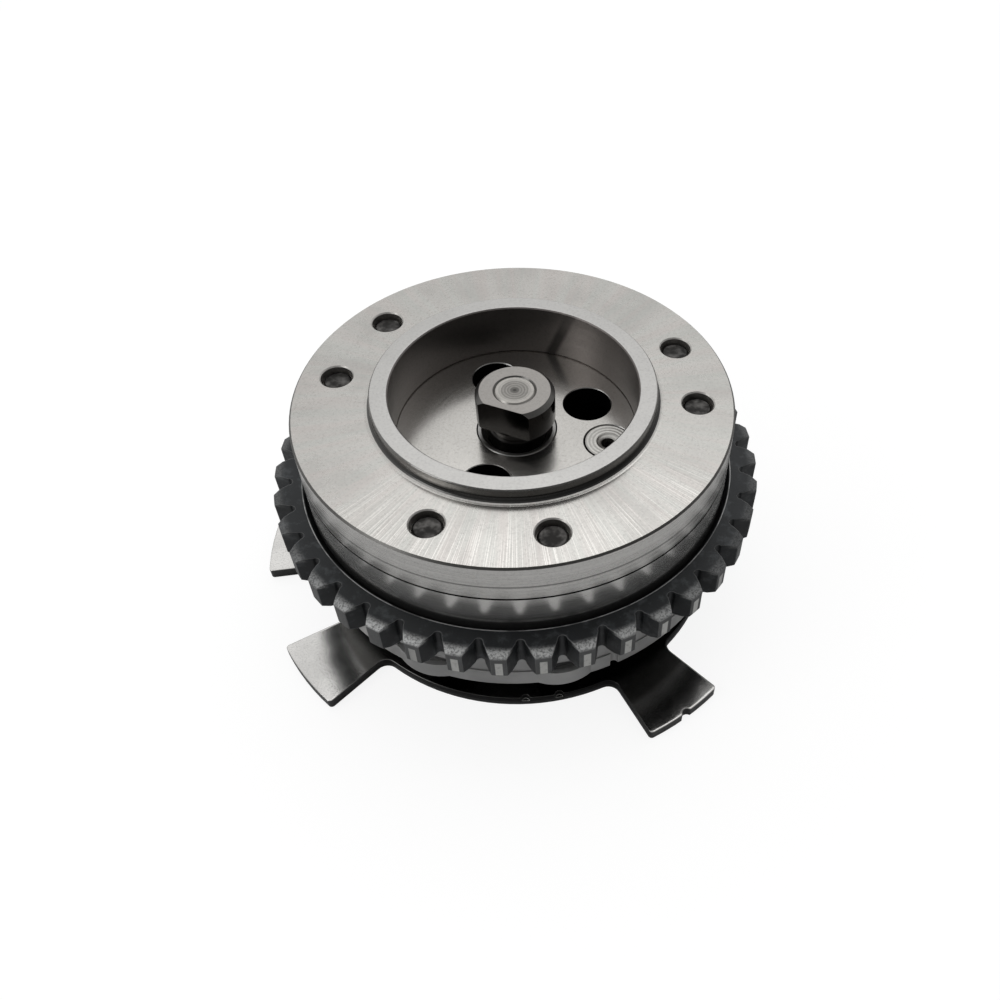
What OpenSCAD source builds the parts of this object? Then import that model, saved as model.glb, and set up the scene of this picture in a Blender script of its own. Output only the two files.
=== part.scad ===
// Hydraulic camshaft phaser: a chain sprocket on a vane housing that can turn a few degrees
// about the rotor it drives. The control plunger faces up and the tone wheel lies at z = 0.
// The Z axis is the camshaft's axis.

/* [Stack, counted upward] */
// Thickness of the tone wheel's sheet
tone_t = 2.4; // [2:0.1:3]
// Clear height between the tone wheel and the rear plate, where the return spring lies
spring_gap = 10.5; // [9.5:0.25:12]
// Thickness of the rear plate
plate_t = 4.2; // [3.6:0.1:5]
// Height of the stator, and of the vane chambers
stator_h = 22; // [20:0.5:24]
// Thickness of the cover's flange
cover_t = 8.9; // [8:0.1:10]
// Height of the collar above the flange
collar_h = 2.95; // [2:0.05:4]

/* [Cover] */
// Wall of the collar
collar_wall = 3.8; // [3:0.1:4.5]
// Land between a bolt head's pocket and the opening through the collar
bore_land = 3.3; // [2.8:0.1:4]
// Fillet at the collar's foot
foot_fillet = 1.3; // [0.5:0.1:2]
// Chamfer of the flange's rim
rim_chamfer = 0.4; // [0.2:0.1:0.8]
// Chamfer of the collar's lips
lip_chamfer = 0.25; // [0.1:0.05:0.5]
// Chamfer of the cover's lower edges and of the stator's upper rim
joint_chamfer = 0.25; // [0.15:0.05:0.4]

/* [Clamp screws] */
// Angle of each clamp screw, in three pairs
screw_angles = [0.2, 27.9, 143.4, 174.4, 250, 285.7];
// Distance of the clamp screws from the drum's outside
screw_inset = 7.6; // [7:0.1:8]
// Radius of a screw's shank
screw_r = 3; // [2.5:0.1:3.2]
// How far a screw's head stands out past its shank
screw_head_step = 2; // [1.6:0.1:2.4]
// Height of a screw's head
screw_head_h = 5; // [4:0.25:6]
// Width across the flats of the socket in a screw's head
screw_socket = 5; // [4:0.5:5.5]
// How much wider each screw hole's mouth is than the shank, at the flange
mouth_step = 0.3; // [0.25:0.05:0.5]
// Depth of that mouth
mouth_d = 2.6; // [2:0.1:4]
// Chamfer round that mouth
mouth_chamfer = 0.25; // [0.15:0.05:0.4]
// How far below the flange a screw ends
screw_sunk = 1.2; // [1:0.1:2]
// Chamfer of a screw's end
screw_point = 0.5; // [0.3:0.1:0.8]

/* [Sprocket] */
// Number of teeth
teeth = 39; // [36:1:42]
// Turn of the first tooth's centre
tooth_phase = 3.15; // [0:0.05:9]
// Wall between the drum and the bottom of the gaps between teeth
root_wall = 3; // [2.6:0.1:3.4]
// Depth of a tooth
tooth_d = 4; // [3.6:0.1:4.6]
// Width of a tooth at its tip
tip_w = 2.95; // [2.5:0.05:3.4]
// Radius of the round at the bottom of a gap
root_round = 0.9; // [0.7:0.05:1.1]
// Width of the toothed band along the axis
tooth_h = 6.9; // [6:0.1:8]
// Height of the bare drum between the cover and the teeth
band_h = 8.4; // [7:0.1:9]
// Drop of the bevel at the tips
tip_bevel_h = 0.65; // [0.3:0.05:1]
// Reach of that bevel
tip_bevel_r = 1.4; // [0.8:0.1:2]
// Width of the groove between the ring's upper edge and the drum
groove_w = 0.75; // [0.5:0.05:1]
// Depth of that groove
groove_d = 1.6; // [1:0.1:2]
// Chamfer of the ring's edge at that groove
ring_chamfer = 0.25; // [0.15:0.05:0.4]
// Wall of the sprocket's skirt, below the teeth
skirt_wall = 1.4; // [1:0.1:1.6]
// Height of the scallops in the skirt, over the rear plate's ears
scallop_h = 1.6; // [1:0.1:2.5]

/* [Rear plate] */
// How far the rear plate stands out past the drum
plate_lip = 1.7; // [1.5:0.1:2]
// How far the ear round each screw stands out past the plate's rim
ear_lip = 1.2; // [1:0.1:1.6]
// Depth of the hollow in each ear
ear_hollow_d = 2; // [1:0.1:2.6]
// Wall left outside that hollow
ear_wall = 0.9; // [0.6:0.1:1.2]
// Angle of the assembly notch in the plate's rim
notch_angle = -61.3; // [-64:0.5:-58]
// Radius of that notch
notch_r = 0.9; // [0.6:0.1:1.2]

/* [Rotor and chambers] */
// Turn of the rotor between its stops, in degrees
travel_angle = 20; // [16:1:22]
// Angle left at each stop
stop_angle = 0.8; // [0.6:0.1:1.2]
// Land of the rotor's hub under the cover
hub_land = 3.7; // [3.2:0.1:4.4]
// Depth of the vane chambers
chamber_d = 11.5; // [11:0.1:12.5]
// Wall of the stator outside the vane chambers
drum_wall = 4.5; // [4:0.1:5]
// Angle that a stator lobe keeps beyond its screws
lobe_pad_angle = 8; // [7:0.25:9]
// Angle of the lobe that holds the dowel pin
dowel_angle = 86.9; // [85:0.1:89]
// Half of that lobe's angle
dowel_pad_angle = 9; // [8:0.25:10]
// Step from the rotor's hub down to its neck, which runs in the rear plate
neck_step = 5; // [4.4:0.1:5.6]
// Wall between the bolt holes and the pilot bore for the camshaft's nose
pilot_wall = 2.4; // [2:0.1:3]
// Depth of the pilot bore above the tone wheel
pilot_d = 7; // [5:0.25:8]

/* [Holes in the rotor's face] */
// Angle of each camshaft bolt hole
bolt_angles = [30.4, 111, 253.5];
// Wall between the guide sleeve and a bolt head's pocket
bolt_wall = 3.1; // [2.6:0.1:3.6]
// Radius of the pocket for a bolt's head
bolt_head_r = 5.2; // [5:0.1:5.6]
// Depth of that pocket
bolt_head_d = 15; // [12:0.5:18]
// Chamfer round that pocket's mouth
pocket_chamfer = 0.15; // [0.1:0.05:0.4]
// Radius of the bolt's clearance hole
bolt_r = 3.4; // [3:0.1:3.6]
// Angle of the inlet plug
plug_angle = -8.5; // [-12:0.5:-6]
// Land between the inlet plug and the opening through the collar
plug_land = 0.6; // [0.4:0.05:1]
// Radius of the inlet plug
plug_r = 5.1; // [4.6:0.1:5.3]
// Thickness of the inlet plug
plug_t = 4; // [3:0.25:5]
// Depth of the gallery under the inlet plug
gallery_d = 9; // [7:0.5:11]
// Radius of the metering hole in the inlet plug
meter_r = 1.5; // [1:0.1:2]
// Depth of the countersink round that hole
meter_sink = 0.5; // [0.3:0.1:0.8]

/* [Control plunger] */
// How far the plunger's head stands out past its stem
head_lip = 2; // [1.6:0.1:2.2]
// Height of the plunger's head
head_h = 7.05; // [6:0.05:8]
// Height of the head's top above the flange
head_rise = 1.55; // [1:0.05:2]
// Depth of the flat cut into the head
flat_cut = 2.2; // [1.8:0.05:2.6]
// Turn of that flat
flat_turn = -18.5; // [-25:0.5:-10]
// Chamfer of the head's top
head_chamfer = 0.9; // [0.5:0.05:1]
// Step from the stem to its riveted end, seen in the head
rivet_end_step = 2; // [1.6:0.1:2.4]
// Radius of the stem below the head
stem_r = 6.2; // [5.9:0.1:6.5]
// How far the plunger can be pushed in
stroke = 3; // [2:0.1:3.2]
// Wall of the guide sleeve
sleeve_wall = 2.25; // [2:0.05:2.6]
// Height of the guide sleeve
sleeve_h = 14; // [12:0.5:15]
// Depth of the cone at the sleeve's mouth
sleeve_cone = 1.3; // [0.8:0.1:1.6]
// Height of the stop ring on the stem
ring_t = 1.2; // [1:0.1:1.5]
// How far the stop ring stands out past the stem
ring_lip = 1.4; // [1:0.1:1.7]
// Depth of the stop ring's groove in the stem
ring_groove = 0.8; // [0.5:0.1:1]
// Length of the stem below the stop ring
stem_tail = 2; // [1.5:0.25:2.5]
// Length of the plunger's spring when the plunger is pushed home
spring_home = 4.5; // [4:0.25:5]

/* [Locking pin] */
// Radius of the locking pin
lock_r = 4; // [3.6:0.1:4.3]
// Gap under the pin's nose while it rides off its seat
lock_gap = 0.15; // [0.1:0.05:0.3]
// How far the pin draws back into the vane
lock_lift = 3; // [2.5:0.25:3.5]
// Room left over the pin when it is drawn back
lock_spare = 5; // [4:0.25:6]
// Wall of the pin round its spring
lock_wall = 1.3; // [1.1:0.1:1.6]
// How far the cap over the pin stands out past the pin
lock_cap_lip = 1; // [0.8:0.1:1.2]
// Thickness of that cap
lock_cap_t = 2.5; // [2:0.1:3]
// Angle from the side of its vane to the locking pin
lock_side_angle = 11; // [10:0.25:12]
// Wall of the hardened seat in the rear plate
seat_wall = 1.3; // [1.1:0.1:1.6]

/* [Seals] */
// Width of a seal strip
seal_w = 2.2; // [1.8:0.1:2.6]
// Depth of a seal strip
seal_d = 2.6; // [2.2:0.1:3]
// Room behind a seal strip for its leaf spring
leaf_room = 1.1; // [0.9:0.05:1.3]
// Thickness of a leaf spring
leaf_t = 0.3; // [0.2:0.05:0.4]

/* [Return spring] */
// Thickness of the spring's strip
strip_t = 1.1; // [0.9:0.05:1.3]
// Height of the spring's strip
strip_h = 6.5; // [5.5:0.25:7]
// Turns of the spring
strip_turns = 2.75; // [2.75:1:3.75]
// Distance from one turn to the next
strip_pitch = 1.9; // [1.7:0.05:2.1]
// Radius of the post that holds the spring's outer end
post_r = 1.8; // [1.5:0.1:2]
// Depth of the slot that holds the spring's inner end
anchor_d = 2; // [1.5:0.1:2.5]

/* [Tone wheel] */
// Distance of the tone wheel's rim inside the drum
tone_inset = 1; // [0.5:0.1:1.5]
// Length of the tabs beyond the rim
tab_len = 15.5; // [14:0.1:17]
// Angle of each tab, in rising order
tab_angles = [-176.4, -137.1, -50, 40, 130];
// Which tab has the notch, counted from 0
notched_tab = 2; // [0:1:4]
// Half width of a tab where it leaves the rim
tab_root_w = 7; // [6.5:0.1:7.5]
// Half width of a tab at its end
tab_end_w = 9.3; // [8.5:0.1:10]
// Fillet between a tab and the rim
tab_fillet = 2.6; // [1.5:0.1:3.5]
// Round at a tab's outer corners
tab_round = 0.8; // [0.6:0.1:1.4]
// Radius of the notch in that tab's end
tab_notch_r = 1.2; // [0.8:0.1:1.5]
// Angle of each small notch in the rim
rim_notch_angles = [-84.6, -75.2];
// Radius of the notches in the rim
rim_notch_r = 0.9; // [0.6:0.1:1.2]
// Depth of those notches, from the upper face
rim_notch_d = 1.2; // [0.8:0.1:1.6]
// Radius of a rivet's shank
rivet_r = 2; // [1.8:0.1:2.2]
// How far a rivet's sunk head stands out past its shank
rivet_head_lip = 1.4; // [1:0.1:1.6]
// Depth of a rivet in the rotor's neck
rivet_d = 6; // [5:0.25:7]
// Land between a rivet's head and the outside of the rotor's neck
rivet_land = 2.6; // [2.2:0.1:3]

/* [Clearances] */
// Gap of a running fit
run_gap = 0.05; // [0.02:0.01:0.08]
// Gap of a pressed or screwed fit
press_gap = 0.02; // [0.01:0.005:0.03]
// Gap round a screw's shank
clear_gap = 0.3; // [0.2:0.05:0.4]
// Gap between faces that pass each other dry
pass_gap = 0.3; // [0.25:0.05:0.4]

/* [Hidden] */
$fn = 96;
eps = 0.01;
far = 100;
z_plate = tone_t + spring_gap;
z_stator = z_plate + plate_t;
z_cover = z_stator + stator_h;
z_flange = z_cover + cover_t;
z_collar = z_flange + collar_h;
z_face = z_cover - run_gap;
z_back = z_stator + run_gap;
rotor_h = z_face - z_back;
z_teeth_top = z_cover - band_h;
z_teeth = z_teeth_top - tooth_h;
tooth_pitch = 360 / teeth;
// Radii, counted outward from the plunger's stem
sleeve_bore_r = stem_r + run_gap;
sleeve_r = sleeve_bore_r + sleeve_wall;
bolt_circle_r = sleeve_r + bolt_wall + bolt_head_r;
bore_r = bolt_circle_r + bolt_head_r + bore_land;
collar_r = bore_r + collar_wall;
hub_r = bore_r + hub_land;
neck_r = hub_r - neck_step;
chamber_r = hub_r + chamber_d;
drum_r = chamber_r + drum_wall;
skirt_r = drum_r + skirt_wall;
root_r = drum_r + root_wall;
tip_r = root_r + tooth_d;
plate_r = drum_r + plate_lip;
screw_circle_r = drum_r - screw_inset;
ear_r = plate_r + ear_lip - screw_circle_r;
tone_r = drum_r - tone_inset;
tab_r = tone_r + tab_len;
pilot_r = bolt_circle_r - bolt_r - pilot_wall;
plug_hole_r = plug_r + press_gap;
plug_circle_r = bore_r - plug_land - plug_r;
screw_head_r = screw_r + screw_head_step;
mouth_r = screw_r + mouth_step;
head_r = stem_r + head_lip;
flat_d = head_r - flat_cut;
rivet_end_r = stem_r - rivet_end_step;
ring_r = stem_r + ring_lip;
rivet_head_r = rivet_r + rivet_head_lip;
rivet_circle_r = neck_r - rivet_land - rivet_head_r;
lock_pocket_r = lock_r - lock_wall;
lock_cap_r = lock_r + lock_cap_lip;
seat_r = lock_r + pass_gap + seat_wall;
gap_tip_w = 2 * tip_r * sin(tooth_pitch / 2) - tip_w;
vane_r = chamber_r - pass_gap;
ear_hollow_r = ear_r - ear_wall;
z_head_top = z_flange + head_rise;
z_head = z_head_top - head_h;
z_sleeve = z_face - sleeve_h;
z_ring_top = z_sleeve - run_gap;
z_stem = z_ring_top - ring_t - stem_tail;
plunger_spring_h = stroke + spring_home;
z_spring_seat = z_stem - plunger_spring_h;
dowel_r = 2.5;
dowel_sunk = 5;
edge = 0.3;
steel = [0.66, 0.65, 0.63];
dark_steel = [0.2, 0.2, 0.21];
sinter = [0.36, 0.37, 0.38];
spring_steel = [0.5, 0.5, 0.5];
black = [0.1, 0.1, 0.1];

// Each lobe runs from its first angle to its second
lobes = [
    [screw_angles[0] - lobe_pad_angle, screw_angles[1] + lobe_pad_angle],
    [dowel_angle - dowel_pad_angle, dowel_angle + dowel_pad_angle],
    [screw_angles[2] - lobe_pad_angle, screw_angles[3] + lobe_pad_angle],
    [screw_angles[4] - lobe_pad_angle, screw_angles[5] + lobe_pad_angle]
];
// Each chamber runs from the end of one lobe to the start of the next
chambers = [
    for (i = [0:3])
        [lobes[i][1], lobes[(i + 1) % 4][0] + (i == 3 ? 360 : 0)]
];
// Each vane rests on the stop at the far end of its chamber
vanes = [
    for (c = chambers)
        [c[0] + stop_angle + travel_angle, c[1] - stop_angle]
];
// The widest vane holds the locking pin at its near side
lock_vane = 2;
lock_angle = vanes[lock_vane][0] + lock_side_angle;
lock_circle_r = (hub_r + vane_r) / 2;
z_lock = z_stator + lock_gap;
z_lock_cap = z_face - lock_cap_t;
lock_h = z_lock_cap - z_lock - lock_lift - lock_spare;
// A vane's seal lies in its middle, or at the far side of the vane with the locking pin
vane_seal_angles = [
    for (i = [0:3])
        i == lock_vane ? vanes[i][1] - lock_side_angle : (vanes[i][0] + vanes[i][1]) / 2
];
lobe_seal_angles = [for (l = lobes) (l[0] + l[1]) / 2];
seal_h = rotor_h - 2 * run_gap;
seal_slot_w = seal_w + 2 * run_gap;
strip_inner_r = neck_r + 0.6;
strip_start = 100;
strip_end = strip_start + 360 * strip_turns;
strip_outer_r = strip_inner_r + strip_pitch * strip_turns;
post_circle_r = strip_outer_r + strip_t + post_r;
z_strip = tone_t + (spring_gap - strip_h) / 2;
rivet_angles = [for (i = [0:2]) (bolt_angles[i] + bolt_angles[(i + 1) % 3] + (i == 2 ? 360 : 0)) / 2];

// Puts a shape at an angle and a distance from the axis
module at(angle, r) {
    rotate(angle)
        translate([r, 0])
            children();
}

// Sector between two angles, out to beyond the part
module sector(a, b) {
    polygon([
        [0, 0],
        for (i = [0:4])
            far * [cos(a + (b - a) * i / 4), sin(a + (b - a) * i / 4)]
    ]);
}

// Ring with chamfered ends, standing on z = 0
module tube(outer, inner, h) {
    difference() {
        cylinder(r = outer, h = h);
        translate([0, 0, -eps])
            cylinder(r = inner, h = h + 2 * eps);
    }
}

// Upright bar with both ends chamfered, standing on z = 0
module chamfered_rod(r, h, c) {
    rotate_extrude()
        polygon([[0, 0], [r - c, 0], [r, c], [r, h - c], [r - c, h], [0, h]]);
}

// Height of a coil spring's wire after a number of turns, with one closed turn at each end
function coil_z(turn, turns, wire_r, h) =
    let (closed = 2.2 * wire_r)
    turn < 1 ? wire_r + closed * turn
    : turn > turns - 1 ? h - wire_r - closed * (turns - turn)
    : wire_r + closed + (h - 2 * wire_r - 2 * closed) * (turn - 1) / (turns - 2);

// Coil spring standing on z = 0, swept as a round wire along its helix
module coil(mean_r, wire_r, turns, h) {
    sides = 8;
    steps = 16 * turns;
    wire = [
        for (i = [0:steps])
            for (j = [0:sides - 1])
                let (a = 360 * i / 16, r = mean_r + wire_r * cos(360 * j / sides))
                [r * cos(a), r * sin(a), coil_z(i / 16, turns, wire_r, h) + wire_r * sin(360 * j / sides)]
    ];
    walls = [
        for (i = [0:steps - 1])
            for (j = [0:sides - 1])
                let (k = (j + 1) % sides)
                [i * sides + j, i * sides + k, (i + 1) * sides + k, (i + 1) * sides + j]
    ];
    start = [for (j = [sides - 1:-1:0]) j];
    finish = [for (j = [0:sides - 1]) steps * sides + j];
    polyhedron(points = wire, faces = concat([start], walls, [finish]));
}

// Clearance for the clamp screws' shanks
module screw_holes(r) {
    for (a = screw_angles)
        at(a, screw_circle_r)
            circle(r = r);
}

module cover_plate() {
    color(steel)
        difference() {
            rotate_extrude()
                polygon([
                    [bore_r + joint_chamfer, z_cover],
                    [drum_r - joint_chamfer, z_cover],
                    [drum_r, z_cover + joint_chamfer],
                    [drum_r, z_flange - rim_chamfer],
                    [drum_r - rim_chamfer, z_flange],
                    for (a = [270:-15:180])
                        [collar_r + foot_fillet + foot_fillet * cos(a), z_flange + foot_fillet + foot_fillet * sin(a)],
                    [collar_r, z_collar - lip_chamfer],
                    [collar_r - lip_chamfer, z_collar],
                    [bore_r + lip_chamfer, z_collar],
                    [bore_r, z_collar - lip_chamfer],
                    [bore_r, z_cover + joint_chamfer]
                ]);
            translate([0, 0, z_cover - eps])
                linear_extrude(cover_t + 2 * eps)
                    screw_holes(screw_r + press_gap);
            translate([0, 0, z_flange - mouth_d])
                linear_extrude(mouth_d + eps)
                    screw_holes(mouth_r);
            for (a = screw_angles)
                at(a, screw_circle_r)
                    translate([0, 0, z_flange - mouth_chamfer])
                        cylinder(r1 = mouth_r, r2 = mouth_r + 2 * mouth_chamfer, h = 2 * mouth_chamfer);
            translate([0, 0, z_cover - eps])
                linear_extrude(dowel_sunk + eps)
                    at(dowel_angle, screw_circle_r)
                        circle(r = dowel_r + press_gap);
        }
}

// Outline of the vane chambers, with the hub's bore
module chamber_outline() {
    circle(r = hub_r + pass_gap);
    intersection() {
        circle(r = chamber_r);
        union()
            for (c = chambers)
                sector(c[0], c[1]);
    }
}

module stator() {
    color(steel)
        difference() {
            rotate_extrude()
                polygon([
                    [0, z_stator],
                    [drum_r, z_stator],
                    [drum_r, z_cover - joint_chamfer],
                    [drum_r - joint_chamfer, z_cover],
                    [0, z_cover]
                ]);
            translate([0, 0, z_stator - eps])
                linear_extrude(stator_h + 2 * eps) {
                    chamber_outline();
                    screw_holes(screw_r + clear_gap);
                    at(dowel_angle, screw_circle_r)
                        circle(r = dowel_r + press_gap);
                    for (a = lobe_seal_angles)
                        at(a, hub_r)
                            translate([0, -seal_slot_w / 2])
                                square([seal_d + leaf_room, seal_slot_w]);
                }
        }
}

// Gap between two teeth, with straight flanks and a round bottom
module tooth_gap() {
    round_x = root_r + root_round;
    slope = (gap_tip_w / 2 - root_round) / (tip_r - round_x);
    over = tip_r + 1;
    over_w = root_round + slope * (over - round_x);
    translate([round_x, 0])
        circle(r = root_round, $fn = 32);
    polygon([[round_x, -root_round], [over, -over_w], [over, over_w], [round_x, root_round]]);
}

module sprocket_ring() {
    inner = drum_r + press_gap;
    color(sinter)
        difference() {
            rotate_extrude()
                polygon([
                    [inner, z_stator],
                    [skirt_r, z_stator],
                    [skirt_r, z_teeth],
                    [tip_r - tip_bevel_r, z_teeth],
                    [tip_r, z_teeth + tip_bevel_h],
                    [tip_r, z_teeth_top - tip_bevel_h],
                    [tip_r - tip_bevel_r, z_teeth_top],
                    [inner + groove_w + ring_chamfer, z_teeth_top],
                    [inner + groove_w, z_teeth_top - ring_chamfer],
                    [inner, z_teeth_top - groove_d]
                ]);
            translate([0, 0, z_teeth - eps])
                linear_extrude(tooth_h + 2 * eps)
                    for (i = [0:teeth - 1])
                        rotate(tooth_phase + (i + 0.5) * tooth_pitch)
                            tooth_gap();
            translate([0, 0, z_stator - eps])
                linear_extrude(scallop_h + eps)
                    screw_holes(ear_r);
        }
}

// Outline of the rear plate with an ear round each clamp screw
module plate_outline() {
    circle(r = plate_r);
    screw_holes(ear_r);
}

module rear_plate() {
    color(sinter)
        translate([0, 0, z_plate])
            difference() {
                linear_extrude(plate_t)
                    difference() {
                        plate_outline();
                        circle(r = neck_r + run_gap);
                        screw_holes(screw_r + clear_gap);
                        at(dowel_angle, screw_circle_r)
                            circle(r = dowel_r + press_gap);
                        at(lock_angle, lock_circle_r)
                            circle(r = seat_r + press_gap);
                        at(strip_end, post_circle_r)
                            circle(r = post_r + press_gap);
                        at(notch_angle, plate_r)
                            circle(r = notch_r);
                    }
                translate([0, 0, plate_t - ear_hollow_d])
                    linear_extrude(ear_hollow_d + eps)
                        difference() {
                            screw_holes(ear_hollow_r);
                            circle(r = drum_r);
                        }
            }
}

module clamp_screw() {
    shank_h = z_flange - screw_sunk - z_plate;
    difference() {
        union() {
            translate([0, 0, -screw_head_h])
                chamfered_rod(screw_head_r, screw_head_h, edge);
            translate([0, 0, -screw_point])
                chamfered_rod(screw_r, shank_h + screw_point, screw_point);
        }
        translate([0, 0, -screw_head_h - eps])
            cylinder(d = screw_socket / cos(30), h = screw_head_h / 2, $fn = 6);
    }
}

module clamp_screws() {
    color(dark_steel)
        for (a = screw_angles)
            translate([0, 0, z_plate])
                at(a, screw_circle_r)
                    clamp_screw();
}

module dowel_pin() {
    color(spring_steel)
        translate([0, 0, z_plate])
            at(dowel_angle, screw_circle_r)
                chamfered_rod(dowel_r, plate_t + stator_h + dowel_sunk - clear_gap, edge);
}

// Outline of the hub and its vanes
module vane_outline() {
    difference() {
        union() {
            circle(r = hub_r);
            intersection() {
                circle(r = vane_r);
                union()
                    for (v = vanes)
                        sector(v[0], v[1]);
            }
        }
        for (a = vane_seal_angles)
            at(a, vane_r - seal_d - leaf_room)
                translate([0, -seal_slot_w / 2])
                    square([seal_d + leaf_room + 1, seal_slot_w]);
    }
}

module rotor() {
    color(steel)
        difference() {
            union() {
                translate([0, 0, z_back])
                    linear_extrude(rotor_h)
                        vane_outline();
                translate([0, 0, tone_t])
                    cylinder(r = neck_r, h = z_back - tone_t + eps);
            }
            translate([0, 0, z_spring_seat])
                cylinder(r = sleeve_r + press_gap, h = far);
            translate([0, 0, tone_t - eps])
                cylinder(r = pilot_r, h = pilot_d + eps);
            for (a = bolt_angles)
                at(a, bolt_circle_r) {
                    cylinder(r = bolt_r, h = far);
                    translate([0, 0, z_face - bolt_head_d])
                        cylinder(r = bolt_head_r, h = far);
                    translate([0, 0, z_face - pocket_chamfer])
                        cylinder(r1 = bolt_head_r, r2 = bolt_head_r + 2 * pocket_chamfer, h = 2 * pocket_chamfer);
                }
            at(plug_angle, plug_circle_r) {
                translate([0, 0, z_face - plug_t])
                    cylinder(r = plug_hole_r, h = far);
                translate([0, 0, z_face - pocket_chamfer])
                    cylinder(r1 = plug_hole_r, r2 = plug_hole_r + 2 * pocket_chamfer, h = 2 * pocket_chamfer);
            }
            at(plug_angle, plug_circle_r)
                translate([0, 0, z_face - plug_t - gallery_d])
                    cylinder(r = plug_r - 1, h = far);
            at(lock_angle, lock_circle_r) {
                cylinder(r = lock_r + run_gap, h = far);
                translate([0, 0, z_lock_cap])
                    cylinder(r = lock_cap_r + press_gap, h = far);
            }
            for (a = rivet_angles)
                at(a, rivet_circle_r)
                    translate([0, 0, tone_t - eps])
                        cylinder(r = rivet_r + press_gap, h = rivet_d + edge);
            rotate(strip_start)
                translate([neck_r - anchor_d - press_gap, -strip_t - press_gap, tone_t - eps])
                    cube([anchor_d + 1, strip_t + 2 * press_gap, spring_gap]);
        }
}

// Strip whose outer face lies on a circle
module outer_seal(r) {
    intersection() {
        circle(r = r);
        translate([r - seal_d, -seal_w / 2])
            square([seal_d + 1, seal_w]);
    }
}

// Strip whose inner face lies on a circle
module inner_seal(r) {
    difference() {
        translate([r - 1, -seal_w / 2])
            square([seal_d + 1, seal_w]);
        circle(r = r);
    }
}

module vane_seals() {
    color(black)
        translate([0, 0, z_back + run_gap])
            linear_extrude(seal_h)
                for (a = vane_seal_angles)
                    rotate(a)
                        outer_seal(chamber_r - run_gap);
}

module lobe_seals() {
    color(black)
        translate([0, 0, z_back + run_gap])
            linear_extrude(seal_h)
                for (a = lobe_seal_angles)
                    rotate(a)
                        inner_seal(hub_r + run_gap);
}

// Bowed leaf that stands upright behind a seal; its ends touch x = 0 and its crown x = rise
module leaf(rise) {
    chord = seal_h * 0.8;
    bow_r = (chord * chord / 4 + rise * rise) / (2 * rise);
    translate([0, seal_w / 2 - edge, z_back + rotor_h / 2])
        rotate([90, 0, 0])
            linear_extrude(seal_w - 2 * edge)
                intersection() {
                    translate([rise - bow_r, 0])
                        difference() {
                            circle(r = bow_r);
                            circle(r = bow_r - leaf_t);
                        }
                    translate([-leaf_t, -chord / 2])
                        square([rise + 2 * leaf_t, chord]);
                }
}

module vane_seal_springs() {
    room = chamber_r - run_gap - seal_d - (vane_r - seal_d - leaf_room);
    color(spring_steel)
        for (a = vane_seal_angles)
            at(a, vane_r - seal_d - leaf_room + leaf_t)
                leaf(room - leaf_t - press_gap);
}

module lobe_seal_springs() {
    room = leaf_room - run_gap;
    color(spring_steel)
        for (a = lobe_seal_angles)
            at(a, hub_r + run_gap + seal_d + room - leaf_t)
                mirror([1, 0])
                    leaf(room - leaf_t - press_gap);
}

module lock_pin() {
    color(dark_steel)
        translate([0, 0, z_lock])
            at(lock_angle, lock_circle_r)
                difference() {
                    chamfered_rod(lock_r, lock_h, 0.6);
                    translate([0, 0, lock_h / 2])
                        cylinder(r = lock_pocket_r, h = lock_h);
                }
}

module lock_spring() {
    z_low = z_lock + lock_h / 2;
    wire_r = 0.4;
    color(spring_steel)
        translate([0, 0, z_low])
            at(lock_angle, lock_circle_r)
                coil(lock_pocket_r - wire_r - pass_gap, wire_r, 6, z_lock_cap - z_low);
}

module lock_cap() {
    color(steel)
        translate([0, 0, z_lock_cap])
            at(lock_angle, lock_circle_r)
                difference() {
                    chamfered_rod(lock_cap_r, lock_cap_t, edge);
                    translate([0, 0, -eps])
                        cylinder(r = meter_r, h = lock_cap_t + 2 * eps);
                }
}

module lock_seat() {
    color(dark_steel)
        translate([0, 0, z_plate])
            at(lock_angle, lock_circle_r)
                tube(seat_r, lock_r + pass_gap, plate_t);
}

module inlet_plug() {
    color(steel)
        translate([0, 0, z_face - plug_t])
            at(plug_angle, plug_circle_r)
                difference() {
                    chamfered_rod(plug_r, plug_t, edge);
                    translate([0, 0, -eps])
                        cylinder(r = meter_r, h = plug_t + 2 * eps);
                    translate([0, 0, plug_t - meter_sink])
                        cylinder(r1 = meter_r, r2 = meter_r + 4 * meter_sink, h = 2 * meter_sink);
                }
}

module guide_sleeve() {
    color(steel)
        rotate_extrude()
            polygon([
                [sleeve_bore_r, z_sleeve],
                [sleeve_r, z_sleeve],
                [sleeve_r, z_face - edge],
                [sleeve_r - edge, z_face],
                [sleeve_bore_r + sleeve_cone, z_face],
                [sleeve_bore_r, z_face - sleeve_cone]
            ]);
}

module plunger_head() {
    color(dark_steel)
        difference() {
            rotate_extrude()
                polygon([
                    [rivet_end_r + press_gap, z_head],
                    [head_r - edge, z_head],
                    [head_r, z_head + edge],
                    [head_r, z_head_top - head_chamfer],
                    [head_r - head_chamfer, z_head_top],
                    [rivet_end_r + edge, z_head_top],
                    [rivet_end_r + press_gap, z_head_top - edge]
                ]);
            rotate(180 + flat_turn)
                translate([-head_r, flat_d, z_head - edge])
                    cube([2 * head_r, head_r, head_h + 2 * edge]);
        }
}

module plunger_stem() {
    color(dark_steel)
        rotate_extrude()
            polygon([
                [0, z_stem],
                [stem_r - edge, z_stem],
                [stem_r, z_stem + edge],
                [stem_r, z_ring_top - ring_t],
                [stem_r - ring_groove, z_ring_top - ring_t],
                [stem_r - ring_groove, z_ring_top],
                [stem_r, z_ring_top],
                [stem_r, z_head],
                [rivet_end_r, z_head],
                [rivet_end_r, z_head_top - edge],
                [rivet_end_r - edge, z_head_top],
                [0, z_head_top]
            ]);
}

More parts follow.
